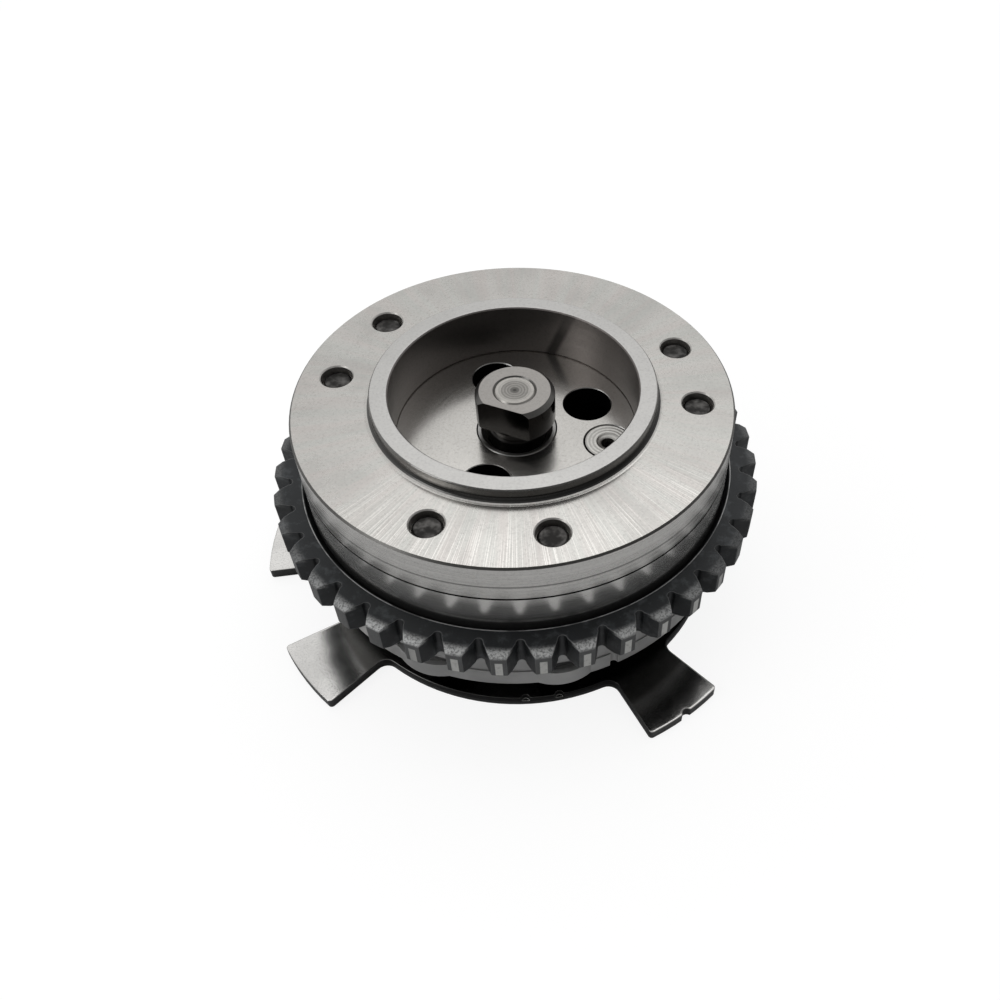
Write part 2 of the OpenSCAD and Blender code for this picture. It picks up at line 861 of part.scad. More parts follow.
module stop_ring() {
    opening = stem_r - ring_groove;
    color(spring_steel)
        translate([0, 0, z_ring_top - ring_t])
            linear_extrude(ring_t)
                difference() {
                    circle(r = ring_r);
                    circle(r = stem_r - ring_groove + press_gap);
                    translate([0, -opening / 2])
                        square([ring_r + 1, opening]);
                }
}

module plunger_spring() {
    wire_r = 0.55;
    color(spring_steel)
        translate([0, 0, z_spring_seat])
            coil(stem_r - wire_r - edge, wire_r, 2.5, plunger_spring_h);
}

// Radius of the spiral's inner face after a turn of the given angle
function spiral_r(a) = strip_inner_r + strip_pitch * a / 360;

module return_spring() {
    step = 10;
    last = 360 * strip_turns;
    color(spring_steel)
        translate([0, 0, z_strip])
            linear_extrude(strip_h)
                rotate(strip_start)
                    polygon([
                        for (a = [0:step:last])
                            spiral_r(a) * [cos(a), sin(a)],
                        for (a = [last:-step:0])
                            (spiral_r(a) + strip_t) * [cos(a), sin(a)],
                        [spiral_r(0) + strip_t, -strip_t],
                        [neck_r - anchor_d, -strip_t],
                        [neck_r - anchor_d, 0]
                    ]);
}

module spring_post() {
    color(dark_steel)
        translate([0, 0, z_strip])
            at(strip_end, post_circle_r)
                chamfered_rod(post_r, z_stator - z_strip, edge);
}

// Lean of a tab's side, and the side's line as a normal and a distance
side_tilt = atan((tab_end_w - tab_root_w) / (tab_r - tone_r));
side_normal = [-sin(side_tilt), cos(side_tilt)];
side_along = [cos(side_tilt), sin(side_tilt)];
side_d = side_normal * [tone_r, tab_root_w];
// Centre of a round that lies off the side's line by one distance and off the axis by another
function round_centre(off, r) =
    (side_d + off) * side_normal + sqrt(r * r - (side_d + off) * (side_d + off)) * side_along;
fillet_c = round_centre(tab_fillet, tone_r + tab_fillet);
corner_c = round_centre(-tab_round, tab_r - tab_round);
function polar(p) = atan2(p.y, p.x);
root_angle = polar(fillet_c);
end_angle = polar(corner_c);
// One side of a tab from the rim outward: the fillet, then the round at the end
tab_side = [
    for (i = [0:6])
        let (a = 180 + root_angle + (90 + side_tilt - root_angle) * i / 6)
        fillet_c + tab_fillet * [cos(a), sin(a)],
    for (i = [0:6])
        let (a = 90 + side_tilt + (end_angle - 90 - side_tilt) * i / 6)
        corner_c + tab_round * [cos(a), sin(a)]
];
function turned(p, a) = [p.x * cos(a) - p.y * sin(a), p.x * sin(a) + p.y * cos(a)];
function tab_outline(a) = [
    for (p = tab_side)
        turned([p.x, -p.y], a),
    for (i = [-2:2])
        tab_r * [cos(a + end_angle * i / 3), sin(a + end_angle * i / 3)],
    for (i = [len(tab_side) - 1:-1:0])
        turned(tab_side[i], a)
];
// Stretch of rim between one tab and the next
function rim_arc(a, b) =
    let (steps = ceil((b - a) / 3))
    [for (i = [1:steps - 1]) tone_r * [cos(a + (b - a) * i / steps), sin(a + (b - a) * i / steps)]];
last_tab = len(tab_angles) - 1;

module tone_outline() {
    polygon([
        for (i = [0:last_tab])
            let (here = tab_angles[i], next = i == last_tab ? tab_angles[0] + 360 : tab_angles[i + 1])
            each concat(tab_outline(here), rim_arc(here + root_angle, next - root_angle))
    ]);
}

module tone_wheel() {
    color(dark_steel)
        difference() {
            linear_extrude(tone_t)
                difference() {
                    tone_outline();
                    circle(r = pilot_r);
                    for (a = bolt_angles)
                        at(a, bolt_circle_r)
                            circle(r = bolt_r);
                    for (a = rivet_angles)
                        at(a, rivet_circle_r)
                            circle(r = rivet_r + press_gap);
                    at(tab_angles[notched_tab], tab_r + tab_notch_r / 3)
                        circle(r = tab_notch_r);
                }
            for (a = rim_notch_angles)
                at(a, tone_r)
                    translate([0, 0, tone_t - rim_notch_d])
                        cylinder(r = rim_notch_r, h = far);
            for (a = rivet_angles)
                at(a, rivet_circle_r)
                    rivet_head(press_gap);
        }
}

// Sunk head of a rivet, flush with the underside of the tone wheel
module rivet_head(grow) {
    translate([0, 0, -eps])
        cylinder(r1 = rivet_head_r + grow, r2 = rivet_r + grow, h = tone_t / 2 + eps);
}

module tone_rivets() {
    color(steel)
        for (a = rivet_angles)
            at(a, rivet_circle_r) {
                translate([0, 0, eps])
                    rivet_head(0);
                cylinder(r = rivet_r, h = tone_t + rivet_d);
            }
}

cover_plate();
stator();
sprocket_ring();
rear_plate();
clamp_screws();
dowel_pin();
rotor();
vane_seals();
vane_seal_springs();
lobe_seals();
lobe_seal_springs();
lock_pin();
lock_spring();
lock_cap();
lock_seat();
inlet_plug();
guide_sleeve();
plunger_head();
plunger_stem();
stop_ring();
plunger_spring();
return_spring();
spring_post();
tone_wheel();
tone_rivets();
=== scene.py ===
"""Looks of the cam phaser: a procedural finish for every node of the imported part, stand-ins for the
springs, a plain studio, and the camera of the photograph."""

import math

import bpy
from mathutils import Matrix, Vector


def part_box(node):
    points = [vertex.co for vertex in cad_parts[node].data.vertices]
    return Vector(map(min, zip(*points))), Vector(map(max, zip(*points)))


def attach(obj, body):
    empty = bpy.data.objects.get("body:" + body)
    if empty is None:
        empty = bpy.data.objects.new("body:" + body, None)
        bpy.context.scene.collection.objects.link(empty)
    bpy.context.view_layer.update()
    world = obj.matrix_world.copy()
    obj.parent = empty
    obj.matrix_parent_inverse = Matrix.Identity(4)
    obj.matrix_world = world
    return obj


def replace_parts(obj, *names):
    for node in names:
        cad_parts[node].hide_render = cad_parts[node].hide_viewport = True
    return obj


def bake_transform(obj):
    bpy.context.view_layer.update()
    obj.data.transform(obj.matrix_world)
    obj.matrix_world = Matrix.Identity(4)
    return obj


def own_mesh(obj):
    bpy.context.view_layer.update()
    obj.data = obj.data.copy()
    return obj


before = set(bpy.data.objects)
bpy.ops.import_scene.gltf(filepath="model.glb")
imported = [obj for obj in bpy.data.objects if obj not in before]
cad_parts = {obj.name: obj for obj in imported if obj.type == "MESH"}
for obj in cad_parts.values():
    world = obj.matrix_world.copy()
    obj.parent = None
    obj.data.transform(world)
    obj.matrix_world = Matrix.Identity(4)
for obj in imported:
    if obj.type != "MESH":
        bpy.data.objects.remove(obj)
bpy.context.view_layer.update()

MM = 0.001


def box_mm(name):
    """Lowest and highest corner of a CAD node, in millimetres."""
    low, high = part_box(name)
    return low / MM, high / MM


# Sizes that the frame gives, in millimetres
cover_low, cover_high = box_mm("cover_plate")
ring_low, ring_high = box_mm("sprocket_ring")
plug_low, plug_high = box_mm("inlet_plug")
COVER_FOOT = cover_low.z
DRUM_R = cover_high.x
TIP_R = -ring_low.y
TEETH_TOP = ring_high.z
HEAD_TOP = box_mm("plunger_head")[1].z
PLUG_AT = ((plug_low + plug_high) / 2).xy

# Sizes of the solids that no box gives, in millimetres and degrees; the screw holes lie between two radii
FLANGE_TOP = 48.0
COLLAR_R = 29.1
COLLAR_FOOT_TOP = FLANGE_TOP + 1.2
SCREW_RING = (30.6, 43.0)
BOLT_POCKET_FOOT = 24.0
RIVET_R = 4.2
PLUG_FACE_R = 4.0
GROOVE_R = 46.02
ROOT_R = 48.0
TEETH = 39
TEETH_FOOT = 23.8
FRONT_TOOTH_DEG = -89.16
TONE_R = 44.0
TAB_R = 59.5

# Bounds of the faces that a zone takes, in millimetres
DRUM_CHAMFER_R = DRUM_R - 0.5
DRUM_SIDE_R = DRUM_R - 0.4
COVER_LOWER_EDGE_Z = COVER_FOOT + 1.0
LIP_Z = FLANGE_TOP + 1.0
COLLAR_SIDE_R = COLLAR_R - 0.3
BOLT_POCKET_Z = (BOLT_POCKET_FOOT - 0.2, COVER_FOOT - 0.4)
ROTOR_FACE_Z = COVER_FOOT - 0.2
RIVETED_END_Z = HEAD_TOP - 0.5
SKIRT_Z = TEETH_FOOT - 0.1

# Tool marks, wear and stains, and places of painted highlights, sheen, reflections and shade, in millimetres
# and degrees:
# a pair is the two ends of a band, or where a mark starts and where it is full
# Painted highlight: where the bright fan lies on the flange's front
HIGHLIGHT_FAN_DEG = (-131.5, -34.0)
HIGHLIGHT_FAN_R = (COLLAR_R + 2.0, DRUM_R - 3.0)
TOOL_MARK_Z = (COVER_FOOT + 3.4, COVER_FOOT + 3.7)
# Heights over which the drum turns darker towards the chain ring
DRUM_DARK_Z = (TEETH_TOP + 4.0, TEETH_TOP + 0.5)
RIVET_RING_PITCH = 0.62
RIVET_RINGS_R = (RIVET_R - 0.7, RIVET_R - 1.3)
RIVET_DULL_R = (RIVET_R - 0.9, RIVET_R - 1.8)
RIVET_DOT_R = (1.3, 0.2)
PLUG_RING_PITCH = 0.75
# Painted reflection: the dark streak of the plunger on the bore's far wall, its angles, lean and heights
PLUNGER_REFLECTION_DEG = (113.5, 116.0)
PLUNGER_REFLECTION_LEAN = 0.95
PLUNGER_REFLECTION_Z = (FLANGE_TOP + 2.0, FLANGE_TOP - 4.0)
# Painted shade on the collar's foot: the radii of its hollow, and the angles of its shaded side
FOOT_HOLLOW_R = (COLLAR_R + 1.15, COLLAR_R + 0.5)
SHADED_FOOT_DEG = (-65.0, 0.0)
CROWN_R = (ROOT_R + 1.5, TIP_R - 0.6)
CROWN_Z = (TEETH_TOP - 1.2, TEETH_TOP - 0.5)
# Painted highlight: a thin bright line on the lip of the chain ring's groove
GROOVE_HIGHLIGHT_R = (GROOVE_R - 0.02, GROOVE_R + 0.14)
GROOVE_HIGHLIGHT_Z = (TEETH_TOP - 0.4, TEETH_TOP - 0.3)
TIP_SKIN_R = (TIP_R - 0.12, TIP_R - 0.06)
CHAIN_MARK_DEG = (-102.0, -40.0)
CHAIN_MARK_Z = (TEETH_FOOT + 0.8, TEETH_TOP - 2.2)
CHAIN_MARK_HALF = (0.78, 0.64)
SHEET_UPPER_Z = (0.8, 1.4)
# Painted shade on the tone wheel's rim and on its tab to the right
SHADED_RIM_R = (TONE_R + 3.0, TONE_R - 0.5)
SHADED_TAB_DEG = (-72.0, -28.0)
SHADED_TAB_R = (TAB_R, TAB_R - 0.9)

# Radii at which edges are rounded in shading, in millimetres, and the rays that each sample takes for it
LIP_ROUND = 0.3
TOOTH_ROUND = 0.4
SHEET_ROUND = 0.6
WORN_ROUND = 0.35
ROUND_SAMPLES = 8

# How far the noise of lathe marks moves with the height, and that of rays with the radius
RING_SLANT = 0.83
RAY_DRIFT = 0.03

# Upright part of a face's normal: above LEVEL the face is a top, above LEANING a top or its chamfer,
# and between SLOPED and LEVEL a chamfer
LEVEL = 0.9
LEANING = 0.5
SLOPED = 0.2

# Colours of grime and painted shade, of the tinted rays of painted sheen and of chain marks, and the
# background's white
GRIME_AND_SHADE = (0.01, 0.01, 0.01)
ROSY = (0.62, 0.48, 0.46)
GREENISH = (0.44, 0.54, 0.50)
CHAIN_BRIGHT = (0.58, 0.58, 0.56)
WHITE = (1.0, 1.0, 1.0)

# Coiled springs whose stand-ins go with the rotor: node, piece, joint and height of the fixed end, in
# millimetres
COILS = (("plunger_spring", "plunger_coil", "plunger_push", 14.3),
         ("lock_spring", "lock_coil", "lock_slide", 36.55))

# Floor: half its width and its drop below the part, in metres; its colour to all but the camera, and its
# shadow's colour and its own glow to the camera
FLOOR_HALF = 3.0
FLOOR_DROP = 0.0002
FLOOR_PAPER = (0.75, 0.75, 0.75)
FLOOR_SHADOW = (0.22, 0.22, 0.22)
FLOOR_GLOW = 0.86

# Room: the direction of its bright side, how far a ray leans that way, and the room's tone over that span
ROOM_BRIGHT_SIDE = (-0.25, 0.80, 0.55)
ROOM_LEAN = (-0.20, 0.80)
ROOM_TONE = (0.18, 0.88)

# Lamps: name, place and size in metres, power in watts; and the point that they face
LAMPS = (("top_softbox", (0.05, 0.25, 0.60), (0.45, 0.35), 0.35),
         ("left_softbox", (-0.45, -0.25, 0.40), (0.25, 0.25), 0.45))
LAMP_AIM = Vector((0.0, 0.0, 0.03))

# Camera of the photograph: place in millimetres, tilt and roll in degrees, focal length and principal
# point in pixels of a 1000-pixel frame, and the nearest depth in metres
CAMERA_AT = (19.339, -146.181, 178.280)
CAMERA_ELEVATION = 50.63
CAMERA_ROLL = 2.362
FOCAL_PX = 948.107
CENTRE_PX = (603.573, 548.467)
FRAME_PX = 1000.0
SENSOR_MM = 36.0
NEAREST = 0.01

# Colour sockets of a Mix node, whose names it repeats for each type of data
MIX_A, MIX_B, MIX_RESULT = 6, 7, 2


class Nodes:
    """A node tree, built node by node."""

    def __init__(self, tree):
        self.tree = tree

    def add(self, kind, inputs=None, **settings):
        """New node with its settings, and what goes into its sockets by name or place."""
        node = self.tree.nodes.new(kind)
        for key, value in settings.items():
            setattr(node, key, value)
        for key, value in (inputs or {}).items():
            self.feed(value, node.inputs[key])
        return node

    def feed(self, value, socket):
        """Links a socket, or writes a plain value."""
        if isinstance(value, bpy.types.NodeSocket):
            self.tree.links.new(value, socket)
        elif socket.type == "RGBA":
            socket.default_value = (*value, 1.0)
        else:
            socket.default_value = value

    def span(self, value, low, high, to_low=0.0, to_high=1.0, curve="SMOOTHSTEP"):
        """Takes a value from one range to another, smoothly unless told otherwise."""
        node = self.add("ShaderNodeMapRange", {
            "Value": value, "From Min": low, "From Max": high, "To Min": to_low, "To Max": to_high,
        }, interpolation_type=curve)
        return node.outputs["Result"]

    def mix(self, factor, a, b):
        """Colour between a and b."""
        node = self.add("ShaderNodeMix", {"Factor": factor, MIX_A: a, MIX_B: b}, data_type="RGBA")
        return node.outputs[MIX_RESULT]


class Finish(Nodes):
    """One procedural material round its Principled shader; its places are in millimetres."""

    def __init__(self, name, metallic, anisotropy=0.0, axis_at=(0.0, 0.0)):
        self.material = bpy.data.materials.new(name)
        self.material.use_nodes = True
        super().__init__(self.material.node_tree)
        self.shader = self.tree.nodes["Principled BSDF"]
        self.set("Metallic", metallic)
        self.set("Anisotropic", anisotropy)
        if anisotropy:
            tangent = self.add("ShaderNodeTangent", direction_type="RADIAL", axis="Z")
            self.set("Tangent", tangent.outputs["Tangent"])
        metres = self.add("ShaderNodeTexCoord").outputs["Object"]
        scaled = self.add("ShaderNodeVectorMath", {0: metres, "Scale": 1 / MM}, operation="SCALE")
        self.place = scaled.outputs["Vector"]
        split = self.add("ShaderNodeSeparateXYZ", {0: self.place})
        x = self.math("SUBTRACT", split.outputs["X"], axis_at[0])
        y = self.math("SUBTRACT", split.outputs["Y"], axis_at[1])
        self.z = split.outputs["Z"]
        self.radius = self.math("SQRT", self.math("ADD", self.product(x, x), self.product(y, y)))
        self.angle = self.math("ARCTAN2", y, x)

    def set(self, name, value):
        """Sets or links one socket of the shader."""
        self.feed(value, self.shader.inputs[name])

    def math(self, operation, a, b=0.0):
        return self.add("ShaderNodeMath", {0: a, 1: b}, operation=operation).outputs[0]

    def product(self, first, *others):
        total = first
        for factor in others:
            total = self.math("MULTIPLY", total, factor)
        return total

    def band(self, value, low, high, soft):
        """1 between low and high, fading over soft."""
        return self.product(self.span(value, low - soft, low), self.span(value, high, high + soft, 1.0, 0.0))

    def sector(self, start_deg, end_deg, soft_start, soft_end):
        """1 between two angles round the axis, fading over a softness in degrees at each end."""
        turn = self.math("DEGREES", self.angle)
        return self.product(self.span(turn, start_deg - soft_start, start_deg),
                            self.span(turn, end_deg, end_deg + soft_end, 1.0, 0.0))

    def noise(self, scale, detail=3.0, roughness=0.55, at=None):
        """Noise over the part, or at a place of its own."""
        node = self.add("ShaderNodeTexNoise", {
            "Vector": self.place if at is None else at,
            "Scale": scale, "Detail": detail, "Roughness": roughness,
        })
        return node.outputs["Fac"]

    def around(self, reach, lane):
        """Place that goes round a circle with the angle, at the height of its lane."""
        spot = self.add("ShaderNodeCombineXYZ", {
            0: self.product(self.math("COSINE", self.angle), reach),
            1: self.product(self.math("SINE", self.angle), reach),
            2: lane,
        })
        return spot.outputs[0]

    def rings(self, per_mm):
        """Lathe marks: a noise that changes with radius and height, with a slow drift round the axis."""
        lane = self.math("ADD", self.radius, self.product(self.z, RING_SLANT))
        return self.noise(1.0, detail=2.0, at=self.around(1.0, self.product(lane, per_mm)))

    def rays(self, per_radian):
        """Fine radial rays: a noise that changes with the angle, with a slow drift along each ray."""
        lane = self.product(self.radius, RAY_DRIFT)
        return self.noise(1.0, detail=2.0, at=self.around(per_radian, lane))

    def ripple(self, pitch_mm):
        """Even rings about the axis, from -1 to 1."""
        return self.math("SINE", self.product(self.radius, math.tau / pitch_mm))

    def rounded(self, radius_mm):
        """Normal that turns smoothly over the part's sharp edges."""
        node = self.add("ShaderNodeBevel", {"Radius": radius_mm * MM}, samples=ROUND_SAMPLES)
        return node.outputs["Normal"]

    def worn_edge(self):
        """1 on the part's sharp edges, 0 on its flats."""
        flat = self.add("ShaderNodeNewGeometry").outputs["Normal"]
        likeness = self.add("ShaderNodeVectorMath", {0: self.rounded(WORN_ROUND), 1: flat},
                            operation="DOT_PRODUCT")
        return self.span(likeness.outputs["Value"], 0.99, 0.80)

    def bump(self, height, depth_mm, strength=1.0, round_mm=0.0):
        """Relief from a height, over edges that may be rounded."""
        node = self.add("ShaderNodeBump", {"Height": height, "Strength": strength, "Distance": depth_mm * MM})
        if round_mm:
            self.feed(self.rounded(round_mm), node.inputs["Normal"])
        self.set("Normal", node.outputs["Normal"])

    def grain(self, tone, colour):
        """Fine pits and bright specks over a tone."""
        speck = self.noise(1.9, detail=6.0, roughness=0.75)
        pits = self.span(speck, 0.50, 0.36, 0.0, 0.30)
        glints = self.span(speck, 0.54, 0.70, 0.0, 0.22)
        pitted = self.mix(pits, tone, shade(colour, 0.55))
        return self.mix(glints, pitted, shade(colour, 1.45))

    def darken(self, factor):
        """Mixes the finish's colour towards black, for grime and for painted shade."""
        colour = self.shader.inputs["Base Color"].links[0].from_socket
        self.set("Base Color", self.mix(factor, colour, GRIME_AND_SHADE))


def shade(colour, factor):
    """A colour made lighter or darker."""
    return tuple(min(1.0, factor * c) for c in colour)


def turned_steel(name, colour, roughness, anisotropy=0.0, lines=3.0, marks=0.10, blotches=0.2,
                 depth_mm=0.0012, round_mm=0.0):
    """Machined steel: fine lathe marks and faint stains."""
    f = Finish(name, metallic=1.0, anisotropy=anisotropy)
    cut = f.rings(lines)
    tone = f.mix(cut, shade(colour, 1.0 - marks), shade(colour, 1.0 + marks))
    stain = f.span(f.noise(0.09, detail=5.0), 0.40, 0.70, 0.0, blotches)
    tone = f.mix(stain, tone, shade(colour, 0.72))
    f.set("Base Color", f.grain(tone, colour))
    f.set("Roughness", f.span(cut, 0.2, 0.8, roughness * 0.9, roughness * 1.1))
    f.bump(cut, depth_mm, round_mm=round_mm)
    return f


def faced_flange(colour):
    """Faced cover: smooth and cloudy, with painted sheen in broad tinted rays all over, and a painted
    highlight in front: a fan of fine bright and dark rays.
    """
    f = Finish("faced_flange", metallic=1.0, anisotropy=0.7)
    cloud = f.span(f.noise(0.10, detail=6.0), 0.35, 0.70)
    # Painted sheen: broad rays over the whole face, tinted rosy and greenish
    broad_sheen_rays = f.span(f.rays(7.0), 0.40, 0.65, 0.0, 0.5)
    rosy_rays = f.span(f.rays(16.0), 0.45, 0.62, 0.0, 0.10)
    greenish_rays = f.span(f.rays(19.0), 0.55, 0.40, 0.0, 0.10)
    # Painted highlight: fine bright and dark rays that show only inside the fan
    bright_rays = f.span(f.rays(190.0), 0.50, 0.66, 0.0, 0.75)
    dark_rays = f.span(f.rays(80.0), 0.46, 0.34, 0.0, 0.28)
    in_highlight_fan = f.sector(*HIGHLIGHT_FAN_DEG, soft_start=2.0, soft_end=14.0)
    fan = f.product(in_highlight_fan, f.span(f.radius, *HIGHLIGHT_FAN_R, 0.35, 1.0))
    tone = f.mix(cloud, shade(colour, 1.06), shade(colour, 0.94))
    tone = f.mix(broad_sheen_rays, tone, shade(colour, 1.16))
    tone = f.mix(rosy_rays, tone, ROSY)
    tone = f.mix(greenish_rays, tone, GREENISH)
    # Painted highlight: the fan lifts the tone in front and carries its bright and dark rays
    tone = f.mix(f.product(fan, 0.14), tone, shade(colour, 1.25))
    tone = f.mix(f.product(fan, bright_rays), tone, shade(colour, 1.55))
    tone = f.mix(f.product(fan, dark_rays), tone, shade(colour, 0.72))
    f.set("Base Color", f.grain(tone, colour))
    f.set("Roughness", f.span(cloud, 0.0, 1.0, 0.25, 0.29))
    return f


def turned_rim(colour):
    """Side of the flange: long turning lines, with a darker tool mark part of the way down."""
    f = turned_steel("turned_rim", colour, roughness=0.28, anisotropy=0.4, lines=2.2, marks=0.26,
                     depth_mm=0.0008)
    f.darken(f.product(f.band(f.z, *TOOL_MARK_Z, soft=0.12), 0.55))
    return f


def ground_drum(colour):
    """Side of the stator: it mirrors the tooth gaps softly and is darker towards the chain ring."""
    f = turned_steel("ground_drum", colour, roughness=0.24, anisotropy=0.3, lines=2.0, depth_mm=0.0006)
    f.set("Metallic", 0.85)
    # Darker towards the chain ring
    f.darken(f.span(f.z, *DRUM_DARK_Z, 0.0, 0.78))
    return f


def riveted_end(colour):
    """End of the stem: lathe rings, pale round the edge and darker towards a centre dot."""
    f = turned_steel("riveted_end", colour, roughness=0.36, lines=6.0, marks=0.30)
    ring = f.span(f.ripple(RIVET_RING_PITCH), -1.0, 1.0, 0.0, 0.30)
    f.darken(f.product(ring, f.span(f.radius, *RIVET_RINGS_R)))
    f.darken(f.span(f.radius, *RIVET_DULL_R, 0.0, 0.30))
    f.darken(f.span(f.radius, *RIVET_DOT_R, 0.0, 0.7))
    return f


def plug_face(colour):
    """Face of the inlet plug, with coarse lathe rings about its own axis."""
    f = Finish("plug_face", metallic=1.0, axis_at=PLUG_AT)
    ring = f.ripple(PLUG_RING_PITCH)
    tone = f.mix(f.span(ring, -1.0, 1.0, 0.0, 0.55), shade(colour, 1.1), shade(colour, 0.5))
    f.set("Base Color", f.grain(tone, colour))
    f.set("Roughness", f.span(f.noise(0.8), 0.3, 0.7, 0.32, 0.40))
    f.bump(ring, depth_mm=0.01)
    return f


def bored_wall(colour):
    """Bore of the collar, with a painted dark reflection of the plunger on its far side."""
    f = turned_steel("bored_wall", colour, roughness=0.40, marks=0.04, blotches=0.1)
    # Painted reflection: a dark streak of the plunger that leans up the far wall
    leaning = f.math("ADD", f.math("DEGREES", f.angle), f.product(f.z, PLUNGER_REFLECTION_LEAN))
    plunger_reflection = f.band(leaning, *PLUNGER_REFLECTION_DEG, soft=3.0)
    f.darken(f.product(plunger_reflection, f.span(f.z, *PLUNGER_REFLECTION_Z, 0.35, 0.75)))
    return f


def collar_foot(colour):
    """Fillet at the collar's foot: painted shade in its hollow, which leaves a bright line where it meets the
    flange, and painted shade on one side.
    """
    f = turned_steel("collar_foot", colour, roughness=0.20, anisotropy=0.3, marks=0.05, blotches=0.1)
    # Painted shade: darker in the fillet's hollow, and on one side round the axis
    f.darken(f.span(f.radius, *FOOT_HOLLOW_R, 0.0, 0.75))
    f.darken(f.product(f.sector(*SHADED_FOOT_DEG, soft_start=40.0, soft_end=40.0), 0.45))
    return f


def sinter_tone(f, colour, pale):
    """Cloudy tone with pale pores."""
    cloud = f.span(f.noise(0.12), 0.3, 0.7)
    pores = f.span(f.noise(3.2, detail=5.0, roughness=0.7), 0.55, 0.75, 0.0, 0.35)
    return f.mix(pores, f.mix(cloud, shade(colour, 0.88), shade(colour, 1.12)), pale)


def finish_sinter(f, roughness, round_mm=0.0):
    """Dull, grainy skin."""
    grain = f.noise(3.2, detail=5.0, roughness=0.7)
    f.set("Roughness", f.span(grain, 0.3, 0.7, roughness * 0.85, roughness * 1.15))
    f.bump(grain, depth_mm=0.02, strength=0.6, round_mm=round_mm)


def sintered(name, colour, pale, roughness, metallic=0.5, edge=0.5):
    """Pressed and sintered steel: fine pores, dull, rubbed pale on its edges."""
    f = Finish(name, metallic=metallic)
    f.set("Base Color", f.mix(f.product(f.worn_edge(), edge), sinter_tone(f, colour, pale), pale))
    finish_sinter(f, roughness)
    return f


def screw_end(colour, dust):
    """Phosphated screw end under a film of dirt: black, with rubbed and dusty patches."""
    f = Finish("screw_end", metallic=0.8)
    f.set("Base Color", f.mix(f.span(f.noise(0.45, detail=4.0), 0.40, 0.75), colour, dust))
    finish_sinter(f, roughness=0.42)
    return f


def chain_ring(colour, smudge, pale):
    """Steam-blackened sprocket: crowns rubbed pale, and paler in front by a painted highlight; a painted
    highlight line on the groove's lip, painted sheen on the tips in front, and a bright chain mark on each
    tip there."""
    f = Finish("chain_ring", metallic=0.4)
    # Painted highlight: 1 in front, where crowns and tips are made paler
    front = f.span(f.math("SINE", f.angle), -0.45, -1.0, 0.18, 1.0)
    smudges = f.span(f.noise(0.35, detail=6.0, roughness=0.65), 0.50, 0.68, 0.0, 0.6)
    grit = f.span(f.noise(2.6, detail=4.0), 0.36, 0.58, 0.35, 1.0)
    crown = f.product(f.span(f.radius, *CROWN_R), f.span(f.z, *CROWN_Z))
    patches = f.span(f.noise(0.25), 0.35, 0.55, 0.35, 1.0)
    # Painted highlight: a thin bright line on the groove's lip, broken in patches
    groove_highlight = f.product(f.band(f.radius, *GROOVE_HIGHLIGHT_R, soft=0.05), f.span(f.z, *GROOVE_HIGHLIGHT_Z))
    on_tip = f.span(f.radius, *TIP_SKIN_R)
    tone = f.mix(smudges, sinter_tone(f, colour, smudge), smudge)
    # Crowns rubbed pale, and a painted highlight that makes them paler in front
    tone = f.mix(f.product(crown, grit, front), tone, pale)
    tone = f.mix(f.product(groove_highlight, patches), tone, pale)
    tone = f.mix(f.product(f.worn_edge(), 0.35), tone, shade(pale, 0.7))
    # Painted sheen on the tips in front
    tone = f.mix(f.product(on_tip, front, 0.30), tone, shade(pale, 0.45))
    tone = f.mix(f.product(on_tip, chain_mark(f)), tone, CHAIN_BRIGHT)
    f.set("Base Color", tone)
    finish_sinter(f, roughness=0.44, round_mm=TOOTH_ROUND)
    return f


def chain_mark(f):
    """1 where the chain rubs a front tooth: in the middle of its width, clear of its upper and lower end."""
    pitch = math.tau / TEETH
    turn = f.math("DIVIDE", f.math("SUBTRACT", f.angle, math.radians(FRONT_TOOTH_DEG)), pitch)
    off_centre = f.math("ABSOLUTE", f.math("SUBTRACT", f.math("FRACT", f.math("ADD", turn, 0.5)), 0.5))
    across = f.span(f.product(off_centre, pitch * TIP_R), *CHAIN_MARK_HALF)
    along = f.band(f.z, *CHAIN_MARK_Z, soft=0.15)
    in_front = f.sector(*CHAIN_MARK_DEG, soft_start=14.0, soft_end=20.0)
    rubbed = f.span(f.noise(1.3), 0.2, 0.5, 0.6, 1.0)
    return f.product(across, along, in_front, rubbed)


def rolled_sheet(name, colour, roughness):
    """Blanked sheet steel with an orange-peel skin, and painted shade on the rim and on the tab to the right.
    """
    f = Finish(name, metallic=1.0)
    peel = f.noise(3.0, detail=4.0, roughness=0.65)
    cloud = f.span(f.noise(0.08, detail=4.0), 0.3, 0.7)
    upper = f.span(f.z, *SHEET_UPPER_Z)
    tone = f.mix(cloud, shade(colour, 0.85), shade(colour, 1.1))
    f.set("Base Color", f.mix(f.span(peel, 0.45, 0.7, 0.0, 0.45), tone, shade(colour, 0.6)))
    # Painted shade: the top darkened over the rim and over the tab to the right
    f.darken(f.product(upper, f.span(f.radius, *SHADED_RIM_R, 0.0, 0.92)))
    on_tab = f.sector(*SHADED_TAB_DEG, soft_start=4.0, soft_end=4.0)
    f.darken(f.product(upper, on_tab, f.span(f.radius, *SHADED_TAB_R, 0.0, 0.75)))
    f.set("Roughness", f.span(peel, 0.3, 0.7, roughness * 0.8, roughness * 1.2))
    f.bump(peel, depth_mm=0.012, round_mm=SHEET_ROUND)
    return f


